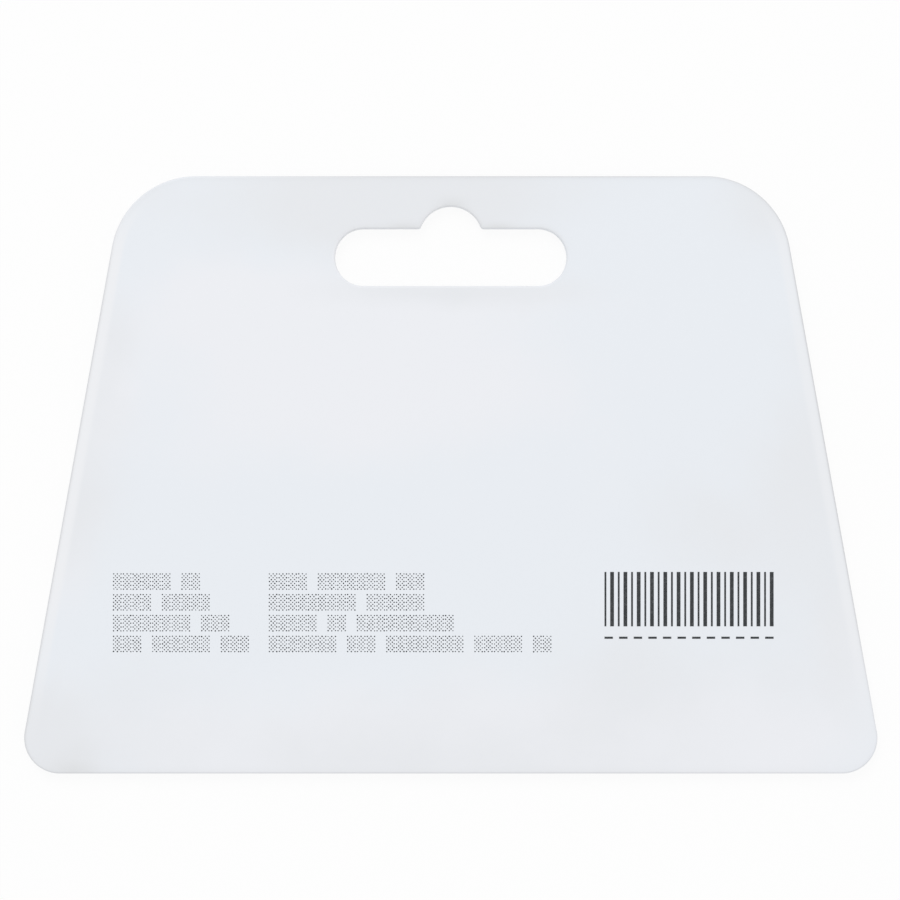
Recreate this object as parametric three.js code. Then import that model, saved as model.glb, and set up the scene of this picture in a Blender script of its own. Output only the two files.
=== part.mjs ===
// A flat plastic dough scraper made of one sheet: a plate that narrows towards the hand,
// with round corners, softened edges and a hanging slot. Millimetres, +Z up.
// The plate lies on its back face. The working edge runs along X on the -Y side, and the
// origin is on the back face, in the middle of the plate's box.

import * as THREE from 'three';

// The plate
const WIDTH = 120; // at its widest, across the two corners of the working edge
const HEIGHT = 84; // working edge to top edge
const THICKNESS = 2;
const SIDE_LEAN = 10.2; // degrees that each side leans in on its way up
const WORKING_CORNER_RADIUS = 5;
const TOP_CORNER_RADIUS = 12;
const EDGE_ROUND = 0.25; // where a face turns into the outer wall or the slot's wall

// The hanging slot: a long hole with a round seat for the hook over its middle
const SLOT_LENGTH = 32.6;
const SLOT_HEIGHT = 8.05;
const SLOT_BELOW_TOP = 7.4; // plate's top edge to the slot's straight upper edge
const SEAT_RADIUS = 4.5;
const SEAT_RISE = 3.15; // slot's upper edge to the crown of the seat
const CUSP_RADIUS = 0.25; // on the faces, at the two points between seat and slot

// How finely round stretches are cut into flats
const CHORD_HEIGHT = 0.01; // most that a flat may lie inside its arc
const EDGE_STEPS = 4; // flats across the edge round

// A thin plate takes a smaller round, so that its wall keeps a flat strip.
const LARGEST_ROUND_SHARE = 0.45;
const edgeRound = Math.min(EDGE_ROUND, LARGEST_ROUND_SHARE * THICKNESS);

const DOWN = -Math.PI / 2;
const UP = Math.PI / 2;
const LEFT = Math.PI;
const DOWN_AGAIN = 1.5 * Math.PI;

const polyethylene = new THREE.MeshStandardMaterial({
  color: 0xe9edf2,
  roughness: 0.45,
  metalness: 0,
});

// Points along an arc, anticlockwise where the angle grows and clockwise where it falls.
function arc(x, y, radius, from, to) {
  const widestStep = 2 * Math.acos(1 - CHORD_HEIGHT / radius);
  const steps = Math.ceil(Math.abs(to - from) / widestStep);
  const clockwise = to < from;
  return new THREE.EllipseCurve(x, y, radius, radius, from, to, clockwise).getPoints(steps);
}

// Four corner arcs joined by their common tangents, anticlockwise from the working edge.
function plateOutline() {
  const lean = THREE.MathUtils.degToRad(SIDE_LEAN);
  const lowX = WIDTH / 2 - WORKING_CORNER_RADIUS;
  const lowY = -HEIGHT / 2 + WORKING_CORNER_RADIUS;
  const highY = HEIGHT / 2 - TOP_CORNER_RADIUS;
  const drawnIn = (highY - lowY) * Math.sin(lean) + TOP_CORNER_RADIUS - WORKING_CORNER_RADIUS;
  const highX = lowX - drawnIn / Math.cos(lean);
  return new THREE.Shape([
    ...arc(lowX, lowY, WORKING_CORNER_RADIUS, DOWN, lean),
    ...arc(highX, highY, TOP_CORNER_RADIUS, lean, UP),
    ...arc(-highX, highY, TOP_CORNER_RADIUS, UP, LEFT - lean),
    ...arc(-lowX, lowY, WORKING_CORNER_RADIUS, LEFT - lean, DOWN_AGAIN),
  ]);
}

// Two round ends, and between them the seat, which meets the upper edge in two rounded cusps.
function slotOutline() {
  const endRadius = SLOT_HEIGHT / 2;
  const endX = SLOT_LENGTH / 2 - endRadius;
  const upperY = HEIGHT / 2 - SLOT_BELOW_TOP;
  const middleY = upperY - endRadius;
  const seatY = upperY + SEAT_RISE - SEAT_RADIUS;

  // The edge round takes its own radius off a cusp on the faces, so the wall has that much more.
  const cuspRadius = CUSP_RADIUS + edgeRound;
  const cuspY = upperY + cuspRadius;
  const cuspX = Math.sqrt((SEAT_RADIUS + cuspRadius) ** 2 - (cuspY - seatY) ** 2);
  const seatToCusp = Math.atan2(cuspY - seatY, cuspX);
  return new THREE.Path([
    ...arc(endX, middleY, endRadius, DOWN, UP),
    ...arc(cuspX, cuspY, cuspRadius, DOWN_AGAIN, LEFT + seatToCusp),
    ...arc(0, seatY, SEAT_RADIUS, seatToCusp, LEFT - seatToCusp),
    ...arc(-cuspX, cuspY, cuspRadius, -seatToCusp, DOWN),
    ...arc(-endX, middleY, endRadius, UP, DOWN_AGAIN),
  ]);
}

// The plate with its slot, drawn through the thickness with a quarter round at both faces.
function blade() {
  const outline = plateOutline();
  outline.holes.push(slotOutline());
  const geometry = new THREE.ExtrudeGeometry(outline, {
    depth: THICKNESS - 2 * edgeRound,
    bevelThickness: edgeRound,
    bevelSize: edgeRound,
    bevelOffset: -edgeRound,
    bevelSegments: EDGE_STEPS,
  });
  const mesh = new THREE.Mesh(geometry, polyethylene);
  mesh.name = 'blade';
  mesh.position.z = edgeRound;
  return mesh;
}

const scraper = new THREE.Group();
scraper.add(blade());

export default scraper;
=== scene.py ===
# %% [markdown]
# A dough scraper is one sheet of white polyethylene, cut to a plate that narrows towards the hand, with
# round corners and a hanging slot. The solid model already holds its sizes, so this file starts by
# loading that model as a fixed frame. The plate's width, height and thickness are then read from the
# frame and not typed a second time.

# %% Load the frame
import math

import bpy
import numpy as np
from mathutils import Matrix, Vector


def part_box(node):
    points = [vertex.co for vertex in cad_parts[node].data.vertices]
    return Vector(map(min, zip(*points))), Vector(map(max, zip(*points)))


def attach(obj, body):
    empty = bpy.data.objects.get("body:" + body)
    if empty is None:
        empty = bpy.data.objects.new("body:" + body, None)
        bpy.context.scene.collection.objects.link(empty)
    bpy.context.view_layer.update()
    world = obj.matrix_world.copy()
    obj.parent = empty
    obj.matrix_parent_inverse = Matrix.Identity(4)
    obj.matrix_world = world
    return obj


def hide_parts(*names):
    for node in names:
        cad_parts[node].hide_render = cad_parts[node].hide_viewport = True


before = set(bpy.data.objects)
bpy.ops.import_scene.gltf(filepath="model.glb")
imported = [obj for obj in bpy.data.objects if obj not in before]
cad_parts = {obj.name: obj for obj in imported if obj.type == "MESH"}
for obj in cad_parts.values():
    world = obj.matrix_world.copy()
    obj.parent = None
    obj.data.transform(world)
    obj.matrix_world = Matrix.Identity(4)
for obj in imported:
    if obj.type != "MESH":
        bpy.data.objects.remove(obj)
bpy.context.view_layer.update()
MM = 0.001
low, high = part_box("blade")
WIDTH = high.x - low.x
FRONT = high.z
print("plate", [round(side / MM, 2) for side in high - low], "mm")

# %% [markdown]
# The plate's outline and its slot are made of arcs joined by straight lines. They could be drawn as Bezier
# curves, but arcs are exact and their normals come free: on an arc, the way out of the material is the ray
# from its centre. So each contour is a row of arcs, with even points on the straights between them. Every
# point carries its normal, which the edge rounds need later.

# %% Round stretches and straights
ARC_STEPS = 40
STRAIGHT_PITCH = 2 * MM
QUARTER = math.pi / 2
OUT_OF_PLATE = 1
INTO_HOLE = -1


def bend(x, y, radius, start, stop, way_out=OUT_OF_PLATE):
    """A round stretch: centre + radius * (cos a, sin a) while a runs from start to stop.
    Each row is x, y and the normal, the ray (cos a, sin a) turned by way_out to leave the material."""
    angle = np.linspace(start, stop, ARC_STEPS)
    ray = np.column_stack([np.cos(angle), np.sin(angle)])
    return np.hstack([np.array([x, y]) + radius * ray, way_out * ray])


def joined(bends):
    """A closed contour: the bends in turn, and on the straight line from each to the next as many even
    points as keep them within STRAIGHT_PITCH of each other."""
    rows = []
    for now, after in zip(bends, bends[1:] + bends[:1]):
        length = np.hypot(*(after[0] - now[-1])[:2])
        share = np.linspace(0, 1, math.ceil(length / STRAIGHT_PITCH) + 1)[1:-1, None]
        rows += [now, (1 - share) * now[-1] + share * after[0]]
    return np.vstack(rows)


print("an arc has", ARC_STEPS, "points")

# %% [markdown]
# The sides lean in towards the top. Two circles of different size have a common tangent, and its lean says
# where each corner arc ends, so the outline is smooth without any trimming. The working edge has tight
# corners and the top has wide ones, which sit well in the palm.

# %% Outline of the plate
SIDE_LEAN = math.radians(10.2)
WORKING_CORNER_RADIUS = 5 * MM
TOP_CORNER_RADIUS = 12 * MM


def plate_outline():
    """Four corner arcs, each ending where its normal leans as the side does, so that the straights between
    are common tangents: the upper centres lie in by (rise * sin lean + radius less radius) / cos lean."""
    low_x = WIDTH / 2 - WORKING_CORNER_RADIUS
    low_y = low.y + WORKING_CORNER_RADIUS
    high_y = high.y - TOP_CORNER_RADIUS
    drawn_in = (high_y - low_y) * math.sin(SIDE_LEAN) + TOP_CORNER_RADIUS - WORKING_CORNER_RADIUS
    high_x = low_x - drawn_in / math.cos(SIDE_LEAN)
    left = math.pi - SIDE_LEAN
    return joined([
        bend(low_x, low_y, WORKING_CORNER_RADIUS, -QUARTER, SIDE_LEAN),
        bend(high_x, high_y, TOP_CORNER_RADIUS, SIDE_LEAN, QUARTER),
        bend(-high_x, high_y, TOP_CORNER_RADIUS, QUARTER, left),
        bend(-low_x, low_y, WORKING_CORNER_RADIUS, left, 3 * QUARTER),
    ])


outline = plate_outline()
print("outline", len(outline), "points")

# %% [markdown]
# The hanging slot is a long hole with a round seat for a hook over its middle. A boolean cut could punch it
# out of a plain plate, but it would leave long thin faces behind, so the slot is a contour of its own. Where
# the seat meets the hole, the punch leaves a small round cusp and not a sharp point. The cusp is one more
# arc, which touches both, and the edge round later takes its own radius off it on the faces.

# %% Outline of the slot
EDGE_ROUND = 0.25 * MM
SLOT_LENGTH = 32.6 * MM
SLOT_HEIGHT = 8.05 * MM
SLOT_BELOW_TOP = 7.4 * MM
SEAT_RADIUS = 4.5 * MM
SEAT_RISE = 3.15 * MM
CUSP_ON_FACE = 0.25 * MM

CUSP_RADIUS = CUSP_ON_FACE + EDGE_ROUND
SLOT_TOP = high.y - SLOT_BELOW_TOP
SLOT_END_RADIUS = SLOT_HEIGHT / 2
SLOT_END_X = SLOT_LENGTH / 2 - SLOT_END_RADIUS
SLOT_MIDDLE_Y = SLOT_TOP - SLOT_END_RADIUS
SEAT_Y = SLOT_TOP + SEAT_RISE - SEAT_RADIUS


def slot_outline():
    """Two round ends and the seat, with a small arc of the material between the seat and the slot. The arc's
    centre lies its own radius over the slot's top and both radii from the seat's centre."""
    cusp_y = SLOT_TOP + CUSP_RADIUS
    cusp_x = math.sqrt((SEAT_RADIUS + CUSP_RADIUS) ** 2 - (cusp_y - SEAT_Y) ** 2)
    meet = math.atan2(cusp_y - SEAT_Y, cusp_x)
    return joined([
        bend(SLOT_END_X, SLOT_MIDDLE_Y, SLOT_END_RADIUS, -QUARTER, QUARTER, INTO_HOLE),
        bend(cusp_x, cusp_y, CUSP_RADIUS, 3 * QUARTER, math.pi + meet),
        bend(0, SEAT_Y, SEAT_RADIUS, meet, math.pi - meet, INTO_HOLE),
        bend(-cusp_x, cusp_y, CUSP_RADIUS, -meet, -QUARTER),
        bend(-SLOT_END_X, SLOT_MIDDLE_Y, SLOT_END_RADIUS, QUARTER, 3 * QUARTER, INTO_HOLE),
    ])


slot = slot_outline()
print("slot", len(slot), "points")

# %% [markdown]
# Both contours are closed loops, so the plate is one ring-shaped surface: a section carried round the
# hole, like a very flat doughnut. The two loops need the same parameter. A point inside the slot sees
# every point of both of them, so the direction from that hub is a good one: both contours are read off at
# the same directions, and the points pair up without crossing.

# %% Pair the two contours
HUB_BELOW_SEAT = 0.25 * SEAT_RADIUS
HUB_Y = SEAT_Y - HUB_BELOW_SEAT
LEAST_TURN = 1e-4
FULL_TURN = 2 * math.pi


def turns(contour):
    """Each point's direction from the hub, between 0 and one turn."""
    return np.arctan2(contour[:, 1] - HUB_Y, contour[:, 0]) % FULL_TURN


def read_at(turn, contour):
    """The contour's x, y and normal at the given directions, in straight lines between its points."""
    return np.column_stack([np.interp(turn, turns(contour), part, period=FULL_TURN) for part in contour.T])


turn = np.union1d(turns(outline), turns(slot))
turn = turn[np.append(True, np.diff(turn) > LEAST_TURN)]
outer, inner = read_at(turn, outline), read_at(turn, slot)
from_hub = np.column_stack([np.cos(turn), np.sin(turn)])
print(len(turn), "pairs round the plate")

# %% [markdown]
# The section runs up the slot's wall, round the edge, across the front face, round the outer edge and
# down the outer wall, and comes home the same way along the back. A Bevel modifier could round the edges,
# but here the round is written as a quarter circle, so its rings lie exactly where the light turns dark.
# A ring just past each round holds the flat face flat. Close rings by the slot and along the rim carry
# the fine changes of tone there.

# %% Section of the plate
ROUND_STEPS = 9
HOLD = 0.05 * MM
SLOT_RINGS = np.array([0.08, 0.18, 0.3, 0.45, 0.65, 0.9]) * MM
RIM_RINGS = np.array([2.2, 1.95, 1.75, 1.6, 1.45, 1.3, 1.1, 0.8, 0.55, 0.4]) * MM
FACE_STEPS = 18


def rounded_edge():
    """Inset and height of one edge, from the wall to the face: inset = r (1 - cos a), height = r sin a."""
    angle = np.linspace(0, QUARTER, ROUND_STEPS)
    inset = np.concatenate([[0], EDGE_ROUND * (1 - np.cos(angle)), [EDGE_ROUND + HOLD]])
    rise = np.concatenate([[-HOLD], EDGE_ROUND * np.sin(angle), [EDGE_ROUND]])
    return inset, FRONT - EDGE_ROUND + rise


def rings(*columns):
    """Rows of the section. A single number in a column is repeated down it."""
    return np.column_stack(np.broadcast_arrays(*map(np.atleast_1d, columns)))


def half_section():
    """Rows of share, inset from the slot, reach from the slot along the hub's ray, inset from the outline
    and height, over the front. A share of 0 lies by the slot, 1 by the outline, and the face between."""
    inset, height = rounded_edge()
    face = np.linspace(0, 1, FACE_STEPS + 2)[1:-1]
    return np.vstack([
        rings(0, inset, 0, 0, height),
        rings(0, inset[-1], SLOT_RINGS, 0, FRONT),
        rings(face, inset[-1], SLOT_RINGS[-1], RIM_RINGS[0], FRONT),
        rings(1, 0, 0, RIM_RINGS, FRONT),
        rings(1, 0, 0, inset[::-1], height[::-1]),
    ])


front_half = half_section()
back_half = front_half[::-1].copy()
back_half[:, -1] = low.z + FRONT - back_half[:, -1]
section = np.vstack([front_half, back_half])
print(len(section), "rings in the section")

# %% [markdown]
# Now the section is carried round. A Screw modifier could carry it round a circle, but not between two loops
# of different shape, so the points are worked out here. Each ring of the section meets each pair of contour
# points once, which gives a grid, and the grid joins up both ways. Blender takes the points and the quads as
# they are.

# %% Surface of the plate


def carried_round(section, inner, outer):
    """The plate: a point is (1 - share) * slot point + share * outline point, each moved in along its
    normal by its inset, and the slot's also along the hub's ray, at the section's height."""
    share, slot_inset, reach, rim_inset, height = (column[:, None, None] for column in section.T)
    by_slot = inner[None, :, :2] - slot_inset * inner[None, :, 2:] + reach * from_hub[None]
    by_rim = outer[None, :, :2] - rim_inset * outer[None, :, 2:]
    plan = (1 - share) * by_slot + share * by_rim
    return np.dstack([plan, np.broadcast_to(height, plan.shape[:2] + (1,))])


def closed_grid(rows, columns):
    """Quads of a grid that joins up both ways, as on a ring doughnut."""
    index = np.arange(rows * columns).reshape(rows, columns)
    right = np.roll(index, -1, axis=1)
    up, across = np.roll(index, -1, axis=0), np.roll(right, -1, axis=0)
    return np.stack([index, up, across, right], axis=-1).reshape(-1, 4)


def new_piece(name, points, faces, smooth=True):
    """A mesh object at the origin, with its place in its mesh."""
    mesh = bpy.data.meshes.new(name)
    mesh.from_pydata(points, [], faces)
    if smooth:
        mesh.shade_smooth()
    mesh.validate()
    piece = bpy.data.objects.new(name, mesh)
    bpy.context.scene.collection.objects.link(piece)
    return piece


grid = carried_round(section, inner, outer)
blade = new_piece("white_plate", grid.reshape(-1, 3), closed_grid(*grid.shape[:2]))
print("white_plate", len(blade.data.polygons), "quads")

# %% [markdown]
# Polyethylene lets light in, and it comes out again near a side wall, so the plate's two sides have a
# slightly lighter band along them. Subsurface scattering would give it at the cost of noise. The band is
# steady, so it is painted into the colour as light instead, kept as a number on each point: it fades with
# the inset from the rim and towards the working edge, and it is strongest where the wall faces sideways,
# above all on the left, the lamp's side. The slot's left end, which faces away from the lamp, gets a thin
# band of painted light too.

# %% Painted light along the sides and at the slot's left end
BAND_REACH = 1.65 * MM
BAND_STEEPNESS = 8
BAND_ENDS = -38 * MM
BAND_FULL = -18 * MM
BAND_LEFT_SHARE = 1.0
BAND_RIGHT_SHARE = 0.6
BAND_TURN = 6
SLOT_BAND_REACH = 0.25 * MM
SLOT_BAND_FACES = math.radians(-15)
FADE = 2
_, rim_y, facing_x, facing_y = outer.T


def on_points(name, values):
    """Stores one number on each point of the plate, for its material to read."""
    values = np.broadcast_to(values, grid.shape[:2]).astype(np.float32)
    blade.data.attributes.new(name, "FLOAT", "POINT").data.foreach_set("value", values.ravel())
    print(name, "up to", round(float(values.max()), 2))


def near_rim(reach, steepness):
    """exp(-(inset / reach) to the steepness) on the rings that follow the outline, and 0 on all others."""
    share, _, _, rim_inset, _ = section.T
    return np.where(share == 1, np.exp(-(rim_inset / reach) ** steepness), 0)[:, None]


def near_slot(reach, faces):
    """exp(-(inset / reach) squared) on the rings by the slot, where the inset takes in the way along the
    hub's ray, times how well the slot's wall faces a given direction: the cosine between the two, squared,
    and 0 where the wall faces away."""
    share, slot_inset, along_ray, _, _ = section.T
    near = np.where(share == 0, np.exp(-((slot_inset + along_ray) / reach) ** FADE), 0)[:, None]
    cosine = inner[:, 2] * math.cos(faces) + inner[:, 3] * math.sin(faces)
    return near * np.clip(cosine, 0, 1) ** FADE


def sideways(facing, y):
    """Facing to the power BAND_TURN, where facing is the normal's part along x, times the left or the right
    share, times an even rise from 0 to 1 between the heights BAND_ENDS and BAND_FULL."""
    share = np.where(facing < 0, BAND_LEFT_SHARE, BAND_RIGHT_SHARE)
    rise = np.clip((y - BAND_ENDS) / (BAND_FULL - BAND_ENDS), 0, 1)
    return facing ** BAND_TURN * share * rise


# Painted light: lighter bands by the sides, strongest on the lamp's side, and at the slot's left end.
by_sides = near_rim(BAND_REACH, BAND_STEEPNESS) * sideways(facing_x, rim_y)
on_points("painted_light_band", by_sides + near_slot(SLOT_BAND_REACH, SLOT_BAND_FACES))

# %% [markdown]
# A line of painted shade runs along the cut, most of all along the sides and the top, and faintly at the
# slot's right end. It stands in for the shade on the edge round: it is weakest along the working edge, which
# faces away from the lamp and is shaded by it already, and it is taken off at three of the corners. A bitmap
# could hold it,
# but it follows the shape: it depends on the distance to the rim and on the way that the wall faces. The
# corners without it are soft patches, like dabs of an airbrush, each written as a formula. The next steps
# use such patches too.

# %% Painted shade along the cut
SHADE_LINE_REACH = 0.24 * MM
SHADE_LINE_LOW_SHARE = 0.2
SHADE_STRIP_REACH = 0.8 * MM
SHADE_STRIP_SHARE = 0.12
SLOT_END_SHADE_SHARE = 0.3
SLOT_END_SHADE_FACES = math.radians(170)

# A patch is its middle's x and y, its half width and half height in millimetres, and its strength.
# Corners where the painted shade along the cut is taken off.
UNSHADED_RIM = (
    (-38, 40, 24, 9, 0.9),
    (58, -36, 14, 14, 0.75),
    (40, 38, 15, 9, 0.35),
)


def soft_patches(patches):
    """Sum over the patches of strength * exp(-(x offset / half width) squared - (y offset / half height)
    squared), on each point of the plate."""
    x, y = grid[..., 0, None] / MM, grid[..., 1, None] / MM
    middle_x, middle_y, half_width, half_height, strength = np.array(patches).T
    falloff = ((x - middle_x) / half_width) ** 2 + ((y - middle_y) / half_height) ** 2
    return (strength * np.exp(-falloff)).sum(axis=-1)


def painted_edge_shading(facing):
    """Painted shade near the rim: a line whose share falls from 1 to a low share as the wall turns towards
    -y, away from the lamp, and which is taken off at the unshaded corners, a faint wider strip where the
    wall faces +y or
    -y, and a faint line at the slot's right end. Facing is the normal's part along y."""
    line = near_rim(SHADE_LINE_REACH, FADE) * np.interp(facing, (-1, 0), (SHADE_LINE_LOW_SHARE, 1))
    strip = near_rim(SHADE_STRIP_REACH, FADE) * np.abs(facing) * SHADE_STRIP_SHARE
    slot_line = near_slot(SHADE_LINE_REACH, SLOT_END_SHADE_FACES) * SLOT_END_SHADE_SHARE
    return np.clip(line * (1 - soft_patches(UNSHADED_RIM)) + strip + slot_line, 0, 1)


# Painted shade along the cut and at the slot's right end.
on_points("painted_edge_shade", painted_edge_shading(facing_y))

# %% [markdown]
# Just over the slot lies painted shade along its upper edge, which faces away from the lamp, most of all
# over the seat and beside its two cusps, and the working edge has a darker spot by its left corner. All of
# that is a shade darker than the face. It could be painted on the points by hand, but a formula is easier to
# read and to change.
# The painted shade keeps to the slot, so it is worked out from the distance to it, and its spots and the
# dark spot by the corner are patches. The marks lie on the front face alone and fade out over the edge
# round.

# %% Painted shade over the slot, and a dark spot by the working edge
# Painted shade over the slot's upper edge, which faces away from the lamp.
SLOT_SHADE_REACH = 0.5 * MM
SLOT_SHADE_SHARE = 0.55
SLOT_SHADE_SPOTS = (
    (0.1, 38.15, 2.0, 0.85, 0.7),
    (-6.5, 34.95, 2.2, 0.6, 0.65),
    (6.6, 34.95, 2.2, 0.6, 0.65),
)
# A darker spot by the working edge's left corner.
CORNER_SPOTS = (
    (-53.1, -42, 3.0, 2.1, 1.0),
)


def over_slot(x, y):
    """share * exp(-(distance / reach) squared) over the slot's middle, where the distance is to the long
    hole or to the seat, whichever is nearer: length of the way to its centre line or centre, less its
    radius."""
    to_hole = np.hypot(np.maximum(np.abs(x) - SLOT_END_X, 0), y - SLOT_MIDDLE_Y) - SLOT_END_RADIUS
    to_seat = np.hypot(x, y - SEAT_Y) - SEAT_RADIUS
    distance = np.maximum(np.minimum(to_hole, to_seat), 0)
    upper = np.clip((y - SLOT_MIDDLE_Y) / SLOT_END_RADIUS, 0, 1)
    return SLOT_SHADE_SHARE * upper * np.exp(-(distance / SLOT_SHADE_REACH) ** FADE)


def marked(points):
    """The painted shade over the slot, its spots and the dark spot by the corner, times the square of an
    even rise from 0 on the wall to 1 on the front."""
    x, y, z = np.moveaxis(points, -1, 0)
    on_front = np.clip((z - FRONT + EDGE_ROUND) / EDGE_ROUND, 0, 1) ** FADE
    return on_front * np.clip(over_slot(x, y) + soft_patches(SLOT_SHADE_SPOTS + CORNER_SPOTS), 0, 1)


# Painted shade over the slot, with the dark spot by the corner.
on_points("painted_slot_shade_and_spot", marked(grid))

# %% [markdown]
# The sheet's tone isn't even either. It is a little warmer and lighter over the middle and along three of
# its edges, and a little greyer by the seat, at the sides and at the corners. A noise alone would put such
# clouds anywhere, so a few soft patches say where they lie, and the material roughens their borders.

# %% Warm and grey patches
WARM_PATCHES = (
    (-13, 13, 35, 13, 1.0),
    (-30, 25, 14, 7, 0.6),
    (0, 25, 18, 3, 0.6),
    (0, -38, 60, 10, 1.0),
    (46, -36, 16, 8, 0.4),
    (-49.5, 12, 4, 10, 0.7),
    (-53.5, -8, 4, 12, 0.7),
    (55.5, -21, 4, 10, 0.8),
)
GREY_PATCHES = (
    (-6, 39, 23, 8, 1.2),
    (44, 38, 9, 8, 0.6),
    (-44, 37, 14, 8, 0.3),
    (0, 25.5, 19, 2.5, 0.75),
    (35, -7, 17, 10, 0.5),
    (28, -29, 28, 9, 0.5),
    (-4, -41, 44, 8, 0.6),
    (-42, -30, 16, 9, 0.3),
    (-54, -39, 7, 8, 0.6),
    (-59, -34, 4, 6, 0.5),
    (-51, 4, 6, 18, 0.6),
    (-54.5, -9, 4, 9, 0.4),
    (-46.5, 20, 4, 7, 0.45),
    (55, -21, 4, 9, 0.4),
    (50, 0, 8, 20, 0.6),
)

on_points("warm_patch", soft_patches(WARM_PATCHES))
on_points("grey_patch", soft_patches(GREY_PATCHES))

# %% [markdown]
# A material in Blender is a small network of nodes. Wiring one by hand takes a line for every socket, so a
# helper adds a node, sets its sockets and links what is passed as another node's output. The plate's own
# material starts here, with the coordinates that its patterns read: object coordinates, in metres, which
# stay with the plate.

# %% Helpers for nodes


def put(owner, socket, value):
    """Links another node's output to a socket, or sets the socket to a plain value."""
    if isinstance(value, bpy.types.NodeSocket):
        owner.node_tree.links.new(value, socket)
    else:
        socket.default_value = value


def add(owner, kind, *values, settings=None, **sockets):
    """Adds a node. Values go to its inputs in order, and named ones by name, with _ for a space."""
    node = owner.node_tree.nodes.new("ShaderNode" + kind)
    for name, value in (settings or {}).items():
        setattr(node, name, value)
    for socket, value in zip(node.inputs, values):
        put(owner, socket, value)
    for name, value in sockets.items():
        put(owner, node.inputs[name.replace("_", " ")], value)
    return node


def new_material(name):
    """An empty node material, with its output's surface socket."""
    material = bpy.data.materials.new(name)
    material.use_nodes = True
    material.node_tree.nodes.clear()
    return material, add(material, "OutputMaterial").inputs["Surface"]


plastic, plastic_surface = new_material("milky_polyethylene")
where = add(plastic, "TexCoord").outputs["Object"]
print(plastic.name, "starts with", len(plastic.node_tree.nodes), "nodes")

# %% [markdown]
# Three small recipes come back in the materials here: soft clouds of noise, a value moved from one range to
# another, and a colour between two others. Each could be wired in its place. As a function, each is one word
# in the lines that follow.

# %% Clouds and mixes


def noise(owner, where, scale, detail):
    """Soft random clouds between 0 and 1, about 1 / scale metres across."""
    return add(owner, "TexNoise", Vector=where, Scale=scale, Detail=detail).outputs["Fac"]


def spread(owner, value, low_in, high_in, low_out=0.0, high_out=1.0):
    """Moves a value smoothly from one range to another, held at its ends."""
    node = add(owner, "MapRange", value, low_in, high_in, low_out, high_out,
               settings={"interpolation_type": "SMOOTHSTEP"})
    return node.outputs["Result"]


def blended(owner, share, first, second):
    """A colour between two colours: (1 - share) * first + share * second."""
    node = add(owner, "Mix", settings={"data_type": "RGBA"})
    sockets = [socket for socket in node.inputs if socket.enabled]
    for socket, value in zip(sockets, (share, first, second)):
        put(owner, socket, value)
    return next(socket for socket in node.outputs if socket.enabled)


print("three recipes for materials")

# %% [markdown]
# The plate is milky white with a touch of blue. A single colour looks like painted card, so it is laid in
# tones: a cool ground, warm and grey patches with cloudy borders, the bands of painted light, the painted
# shade over the slot, and the painted shade along the edges over all. Each tone is mixed over the ones
# before it by its own number, so the order says which one wins: an edge covers a patch.

# %% Tones of the plastic
COOL_WHITE = (0.815, 0.848, 0.893, 1)
WARM_WHITE = (0.846, 0.860, 0.897, 1)
GREY_WHITE = (0.795, 0.812, 0.842, 1)
# The next three tones are painted: light in the bands, shade over the slot, with a dark spot by a corner,
# and shade along the cut.
PAINTED_LIGHT_WHITE = (0.861, 0.871, 0.896, 1)
SHADE_AND_SPOT_GREY = (0.735, 0.748, 0.767, 1)
EDGE_SHADE_GREY = (0.66, 0.67, 0.69, 1)

CLOUD_SCALE = 70
CLOUD_DETAIL = 4
CLOUD_SHARE = 0.5
PATCH_SHARE = 0.62
CLOUD_LOW = 0.32
CLOUD_HIGH = 0.8
OTHER_CLOUDS = (0.31, 0.17, 0)


def stored(owner, name):
    """A number that was kept on the points of the piece."""
    return add(owner, "Attribute", settings={"attribute_name": name}).outputs["Fac"]


def cloudy(owner, where, name):
    """A stored patch with a ragged border: patch * share + clouds * share, spread to 0 and 1."""
    clouds = add(owner, "Math", noise(owner, where, CLOUD_SCALE, CLOUD_DETAIL), CLOUD_SHARE,
                 settings={"operation": "MULTIPLY"}).outputs[0]
    both = add(owner, "Math", stored(owner, name), PATCH_SHARE, clouds,
               settings={"operation": "MULTIPLY_ADD"}).outputs[0]
    return spread(owner, both, CLOUD_LOW, CLOUD_HIGH)


elsewhere = add(plastic, "Mapping", Vector=where, Location=OTHER_CLOUDS).outputs["Vector"]
plastic_colour = COOL_WHITE
for share, tone in ((cloudy(plastic, where, "warm_patch"), WARM_WHITE),
                    (cloudy(plastic, elsewhere, "grey_patch"), GREY_WHITE),
                    (stored(plastic, "painted_light_band"), PAINTED_LIGHT_WHITE),
                    (stored(plastic, "painted_slot_shade_and_spot"), SHADE_AND_SPOT_GREY),
                    (stored(plastic, "painted_edge_shade"), EDGE_SHADE_GREY)):
    plastic_colour = blended(plastic, share, plastic_colour, tone)
print(plastic.name, "has", len(plastic.node_tree.nodes), "nodes with its tones")

# %% [markdown]
# Sheet that cooled against a roller is matte and not glassy. An even roughness would look like paper, so
# three noises share the work: a fine grain raises the surface a little, a slow wave bends what it reflects,
# because no sheet is quite flat, and small clouds make it shine more here and less there.

# %% Grain of the plastic
POLYETHYLENE_IOR = 1.51
WAVE_SCALE = 45
WAVE_DETAIL = 1
WAVE_DEPTH = 0.03 * MM
WAVE_STRENGTH = 1.0
GRAIN_SCALE = 5200
GRAIN_DETAIL = 3
GRAIN_DEPTH = 0.02 * MM
GRAIN_STRENGTH = 0.12
DULL_SCALE = 900
DULL_DETAIL = 4
LEAST_DULL, MOST_DULL = 0.42, 0.52
NOISE_LOW, NOISE_HIGH = 0.3, 0.7

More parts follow.
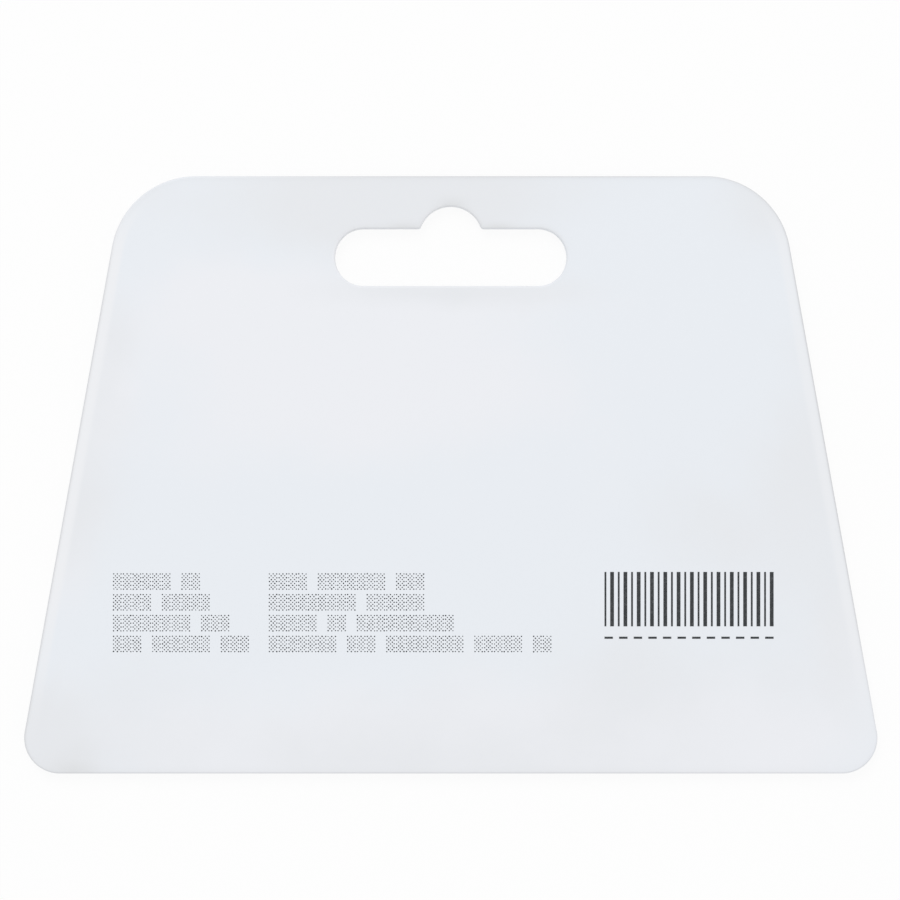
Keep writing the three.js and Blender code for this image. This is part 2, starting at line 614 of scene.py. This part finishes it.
wave = add(plastic, "Bump", Strength=WAVE_STRENGTH, Distance=WAVE_DEPTH,
           Height=noise(plastic, where, WAVE_SCALE, WAVE_DETAIL)).outputs["Normal"]
grain = add(plastic, "Bump", Strength=GRAIN_STRENGTH, Distance=GRAIN_DEPTH,
            Height=noise(plastic, where, GRAIN_SCALE, GRAIN_DETAIL), Normal=wave).outputs["Normal"]
dullness = spread(plastic, noise(plastic, where, DULL_SCALE, DULL_DETAIL), NOISE_LOW, NOISE_HIGH,
                  LEAST_DULL, MOST_DULL)
shader = add(plastic, "BsdfPrincipled", Base_Color=plastic_colour, Roughness=dullness, IOR=POLYETHYLENE_IOR,
             Normal=grain)
put(plastic, plastic_surface, shader.outputs[0])

blade.data.materials.append(plastic)
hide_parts("blade")
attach(blade, "root")
print("dressed", blade.name, "with", len(plastic.node_tree.nodes), "nodes")

# %% [markdown]
# The front carries a small print from an ink-jet coder: rows of fine dots and a block of stripes. It is a
# plain pattern, in which each word is a run of chequered dots. A picture could be mapped on the plate, but
# dots that are real thin solids stay sharp at any distance. One dot is a low drop of eight sides, and numpy
# sets thousands of copies at once, each a little off its place and its size, as drops land.

# %% Dots of ink
INK_HEIGHT = 0.012 * MM
INK_SINK = 0.004 * MM
DOT_SIDES = 8
DOT_RADIUS = 0.105 * MM
DOT_TOP_SHARE = 0.8
DOT_SHAKE = 0.012 * MM
DOT_UNEVEN = 0.09
DOT_SEED = 7
shaker = np.random.default_rng(DOT_SEED)


def ink_dots(name, centres):
    """Low drops on the front face: two rings of (cos a, sin a) times a radius, the lower one sunk a little
    into the plate and the upper one smaller, closed by a lid below and above."""
    angle = np.arange(DOT_SIDES) * FULL_TURN / DOT_SIDES
    ray = np.column_stack([np.cos(angle), np.sin(angle)])
    count = len(centres)
    radius = DOT_RADIUS * (1 + DOT_UNEVEN * shaker.standard_normal((count, 1, 1)))
    centre = (centres + DOT_SHAKE * shaker.standard_normal(centres.shape))[:, None, :]
    share = np.repeat([1, DOT_TOP_SHARE], DOT_SIDES)[None, :, None]
    height = np.repeat([FRONT - INK_SINK, FRONT + INK_HEIGHT], DOT_SIDES)[None, :, None]
    plan = centre + share * radius * np.tile(ray, (2, 1))[None]
    points = np.dstack([plan, np.broadcast_to(height, (count, 2 * DOT_SIDES, 1))])
    ring = np.arange(DOT_SIDES)
    after = np.roll(ring, -1)
    first = 2 * DOT_SIDES * np.arange(count)[:, None, None]
    walls = (first + np.column_stack([ring, after, after + DOT_SIDES, ring + DOT_SIDES])).reshape(-1, 4)
    lids = (first + np.stack([ring[::-1], ring + DOT_SIDES])).reshape(-1, DOT_SIDES)
    return new_piece(name, points.reshape(-1, 3), walls.tolist() + lids.tolist())


print("a dot is", round(2 * DOT_RADIUS / MM, 2), "mm across")

# %% [markdown]
# A row of print is a list of word lengths, counted in cells. A cell is a small chequered board of dots, and
# one empty cell parts two words. Array modifiers could repeat a dot, but they know nothing of words. So the
# places come from counting cells, and the whole print follows a few sizes: the pitch of the dots, of the
# cells and of the rows.

# %% Rows of print
CELL_COLUMNS = 5
CELL_ROWS = 9
DOT_PITCH_X = 0.258 * MM
DOT_PITCH_Y = 0.267 * MM
CELL_PITCH = 1.376 * MM
ROW_PITCH = 2.925 * MM
FIRST_ROW_Y = -15.0 * MM
LEFT_BLOCK_X = -47.4 * MM
RIGHT_BLOCK_X = -25.5 * MM
LEFT_WORDS = ((6, 2), (4, 5), (8, 3), (3, 6, 3))
RIGHT_WORDS = ((4, 7, 3), (9, 6), (5, 2, 10), (7, 3, 8, 5, 2))


def cells_of(words):
    """Numbers of the printed cells in a row: each word's cells in turn, with one left empty after it."""
    ends = np.cumsum([length + 1 for length in words])
    return np.setdiff1d(np.arange(ends[-1]), ends - 1)


def print_rows(left_x, rows):
    """Centres of all dots of a block: cell number * cell pitch + column * dot pitch across, and row
    number * row pitch + dot row * dot pitch down, where column + dot row is even."""
    column, dot_row = np.meshgrid(np.arange(CELL_COLUMNS), np.arange(CELL_ROWS))
    even = (column + dot_row) % 2 == 0
    cell = np.column_stack([column[even] * DOT_PITCH_X, (CELL_ROWS // 2 - dot_row[even]) * DOT_PITCH_Y])
    starts = [(left_x + n * CELL_PITCH, FIRST_ROW_Y - k * ROW_PITCH)
              for k, words in enumerate(rows) for n in cells_of(words)]
    return (np.array(starts)[:, None, :] + cell[None]).reshape(-1, 2)


left_print = ink_dots("ink_rows_left", print_rows(LEFT_BLOCK_X, LEFT_WORDS))
right_print = ink_dots("ink_rows_right", print_rows(RIGHT_BLOCK_X, RIGHT_WORDS))
print("ink", len(left_print.data.polygons) + len(right_print.data.polygons), "faces in the rows")

# %% [markdown]
# The stripes are thin strips of ink with a slightly sloping wall. Scaled cubes could stand for them, but
# their walls would be upright, so each is a small section, carried from the strip's lower end to its upper
# end. Thin and thick ones take turns in a steady rhythm, and a row of short dashes runs under them.

# %% Stripes of ink
STRIPES_LEFT = 21.6 * MM
STRIPES_TOP = -13.65 * MM
STRIPES_HEIGHT = 7.65 * MM
STRIPE_GAP = 0.52 * MM
STRIPE_WIDTHS = (0.28 * MM, 0.55 * MM)
STRIPE_PAIRS = 13
DASHES = 12
DASH_LENGTH = 1.2 * MM
DASH_WIDTH = 0.3 * MM
DASHES_BELOW = 1.6 * MM
STRIP_SLOPE = 0.02 * MM
STRIP_STEPS = 24


def ink_strips(name, middles, widths, lows, highs):
    """Flat strips along y: the section's four corners are the sunk foot and the narrower top, and they are
    carried along STRIP_STEPS places from low to high, with a lid at each end."""
    rows = (middles, widths, lows, highs)
    middle, width, start, stop = (np.atleast_1d(row)[:, None, None] for row in rows)
    share = np.linspace(0, 1, STRIP_STEPS)[None, :, None]
    x = middle + np.array([-1, 1, 1, -1]) * width / 2 + np.array([0, 0, -1, 1]) * STRIP_SLOPE
    y = start * (1 - share) + stop * share
    z = np.repeat([FRONT - INK_SINK, FRONT + INK_HEIGHT], 2)
    points = np.stack(np.broadcast_arrays(x, y, z), axis=-1)
    index = np.arange(points[..., 0].size).reshape(points.shape[:3])
    after = np.roll(index, -1, axis=2)
    walls = np.stack([index[:, :-1], index[:, 1:], after[:, 1:], after[:, :-1]], axis=-1).reshape(-1, 4)
    lids = np.concatenate([index[:, 0], index[:, -1, ::-1]])
    return new_piece(name, points.reshape(-1, 3), np.concatenate([walls, lids]), smooth=False)


widths = np.tile(STRIPE_WIDTHS, STRIPE_PAIRS)
ends = STRIPES_LEFT + np.cumsum(widths + STRIPE_GAP) - STRIPE_GAP
foot = STRIPES_TOP - STRIPES_HEIGHT
stripes = ink_strips("ink_stripes", ends - widths / 2, widths, foot, STRIPES_TOP)
dash_x = np.linspace(STRIPES_LEFT + DASH_LENGTH / 2, ends[-1] - DASH_LENGTH / 2, DASHES)
dash_y = foot - DASHES_BELOW
dashes = ink_strips("ink_dashes", dash_x, DASH_LENGTH, dash_y - DASH_WIDTH / 2, dash_y + DASH_WIDTH / 2)
print("stripes end at", round(ends[-1] / MM, 2), "mm")

# %% [markdown]
# Ink from a coder is almost black, soaks in unevenly and dries dull. Plain black would look like a hole in
# the plate, so the ink's colour wanders a little from dot to dot, and it shines less than the plastic.

# %% Coder ink
INK_DARK = (0.034, 0.038, 0.041, 1)
INK_THIN = (0.070, 0.075, 0.080, 1)
INK_CLOUD_SCALE = 2600
INK_CLOUD_DETAIL = 3
INK_CLOUD_LOW, INK_CLOUD_HIGH = 0.45, 0.75
INK_DULLNESS = 0.62
INK_IOR = 1.45
INK_SHINE = 0.3


def coder_ink():
    """Two greys in fine clouds, dull."""
    material, surface = new_material("coder_ink")
    where = add(material, "TexCoord").outputs["Object"]
    clouds = noise(material, where, INK_CLOUD_SCALE, INK_CLOUD_DETAIL)
    colour = blended(material, spread(material, clouds, INK_CLOUD_LOW, INK_CLOUD_HIGH), INK_DARK, INK_THIN)
    shader = add(material, "BsdfPrincipled", Base_Color=colour, Roughness=INK_DULLNESS, IOR=INK_IOR,
                 Specular_IOR_Level=INK_SHINE)
    put(material, surface, shader.outputs[0])
    return material


ink = coder_ink()
for piece in (left_print, right_print, stripes, dashes):
    piece.data.materials.append(ink)
    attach(piece, "root")
    print("inked", piece.name)

# %% [markdown]
# The plate lies on a pale floor under a pale sky, and both look white, as a studio's sweep does. More light
# could turn them white, but it would bleach the plate as well. So only their looks change: the Light Path
# node knows a ray from the camera or a reflection, and such a ray meets plain white. A share of the floor
# stays a diffuse surface even then, so that the plate still leaves a faint shadow.

# %% Floor and sky
FLOOR_SIDE = 4.0
FLOOR_PALE = (0.9, 0.9, 0.9, 1)
WHITE = (1, 1, 1, 1)
WHITE_SHARE = 0.9
SKY_STRENGTH = 0.795


def seen(owner):
    """1 for a ray from the camera, from a reflection or through something clear, and 0 for other rays."""
    path = add(owner, "LightPath").outputs
    either = add(owner, "Math", path["Is Camera Ray"], path["Is Glossy Ray"],
                 settings={"operation": "MAXIMUM"}).outputs[0]
    return add(owner, "Math", either, path["Is Transmission Ray"],
               settings={"operation": "MAXIMUM"}).outputs[0]


def pale_floor():
    """Diffuse for the light that bounces, and mostly white for what the camera or a reflection sees."""
    material, surface = new_material("pale_floor")
    share = add(material, "Math", seen(material), WHITE_SHARE,
                settings={"operation": "MULTIPLY"}).outputs[0]
    lit = add(material, "BsdfDiffuse", Color=FLOOR_PALE)
    white = add(material, "Emission", Color=WHITE, Strength=1.0)
    put(material, surface, add(material, "MixShader", share, lit.outputs[0], white.outputs[0]).outputs[0])
    return material


def pale_sky():
    """Even light from all round, and plain white for what the camera or a reflection sees."""
    sky = bpy.data.worlds.new("pale_sky")
    sky.use_nodes = True
    sky.node_tree.nodes.clear()
    light = add(sky, "Background", Color=WHITE, Strength=SKY_STRENGTH)
    white = add(sky, "Background", Color=WHITE, Strength=1.0)
    mix = add(sky, "MixShader", seen(sky), light.outputs[0], white.outputs[0])
    put(sky, add(sky, "OutputWorld").inputs["Surface"], mix.outputs[0])
    return sky


corner = FLOOR_SIDE / 2
floor_points = [(x * corner, y * corner, low.z) for x, y in ((-1, -1), (1, -1), (1, 1), (-1, 1))]
floor = new_piece("floor", floor_points, [(0, 1, 2, 3)])
floor.data.materials.append(pale_floor())
bpy.context.scene.world = pale_sky()
print("floor", FLOOR_SIDE, "m, sky", SKY_STRENGTH)

# %% [markdown]
# The light is soft and comes from above, from the top of the picture and a little from the left, so edges
# that face the viewer's feet turn dark and edges that face away stay light. A small lamp would draw hard
# shadows, so one large area lamp does it, and the sky fills the rest. Together they give about 1 on a level
# surface, so a colour renders about as it is written.

# %% Soft light
LAMP_PLACE = (-0.4, 1.4, 1.8)
LAMP_SIDE = 1.2
LAMP_POWER = 14.0

lamp_data = bpy.data.lights.new("soft_lamp", "AREA")
lamp_data.shape = "SQUARE"
lamp_data.size = LAMP_SIDE
lamp_data.energy = LAMP_POWER
lamp = bpy.data.objects.new("soft_lamp", lamp_data)
bpy.context.scene.collection.objects.link(lamp)
lamp.location = LAMP_PLACE
lamp.rotation_euler = lamp.location.to_track_quat("Z", "Y").to_euler()
lamp.visible_camera = False
print("lamp", LAMP_POWER, "W at", LAMP_PLACE)

# %% [markdown]
# The camera looks straight down on the plate, because the slot's ends show as true circles. An orthographic
# camera could do that too, but it would hide the slot's wall. This one shows a little of the far wall, and
# its distance sets how much. The lens follows from the distance and from the width that the picture takes
# in at the front face, and the camera stands a little off the plate's middle to frame it.

# %% Camera
VIEW_DISTANCE = 0.6
VIEW_WIDTH = 126.52 * MM
VIEW_CENTRE = (-0.11 * MM, 3.49 * MM)
SENSOR_WIDTH = 36

camera_data = bpy.data.cameras.new("camera")
camera_data.sensor_width = SENSOR_WIDTH
camera_data.lens = SENSOR_WIDTH * VIEW_DISTANCE / VIEW_WIDTH
camera = bpy.data.objects.new("camera", camera_data)
bpy.context.scene.collection.objects.link(camera)
camera.location = (*VIEW_CENTRE, FRONT + VIEW_DISTANCE)
bpy.context.scene.camera = camera
bpy.context.scene.view_settings.view_transform = "Standard"
print("lens", round(camera_data.lens, 1), "mm")

# %% [markdown]
# Last, the scene is brought up to date.

# %% Finish
bpy.context.view_layer.update()
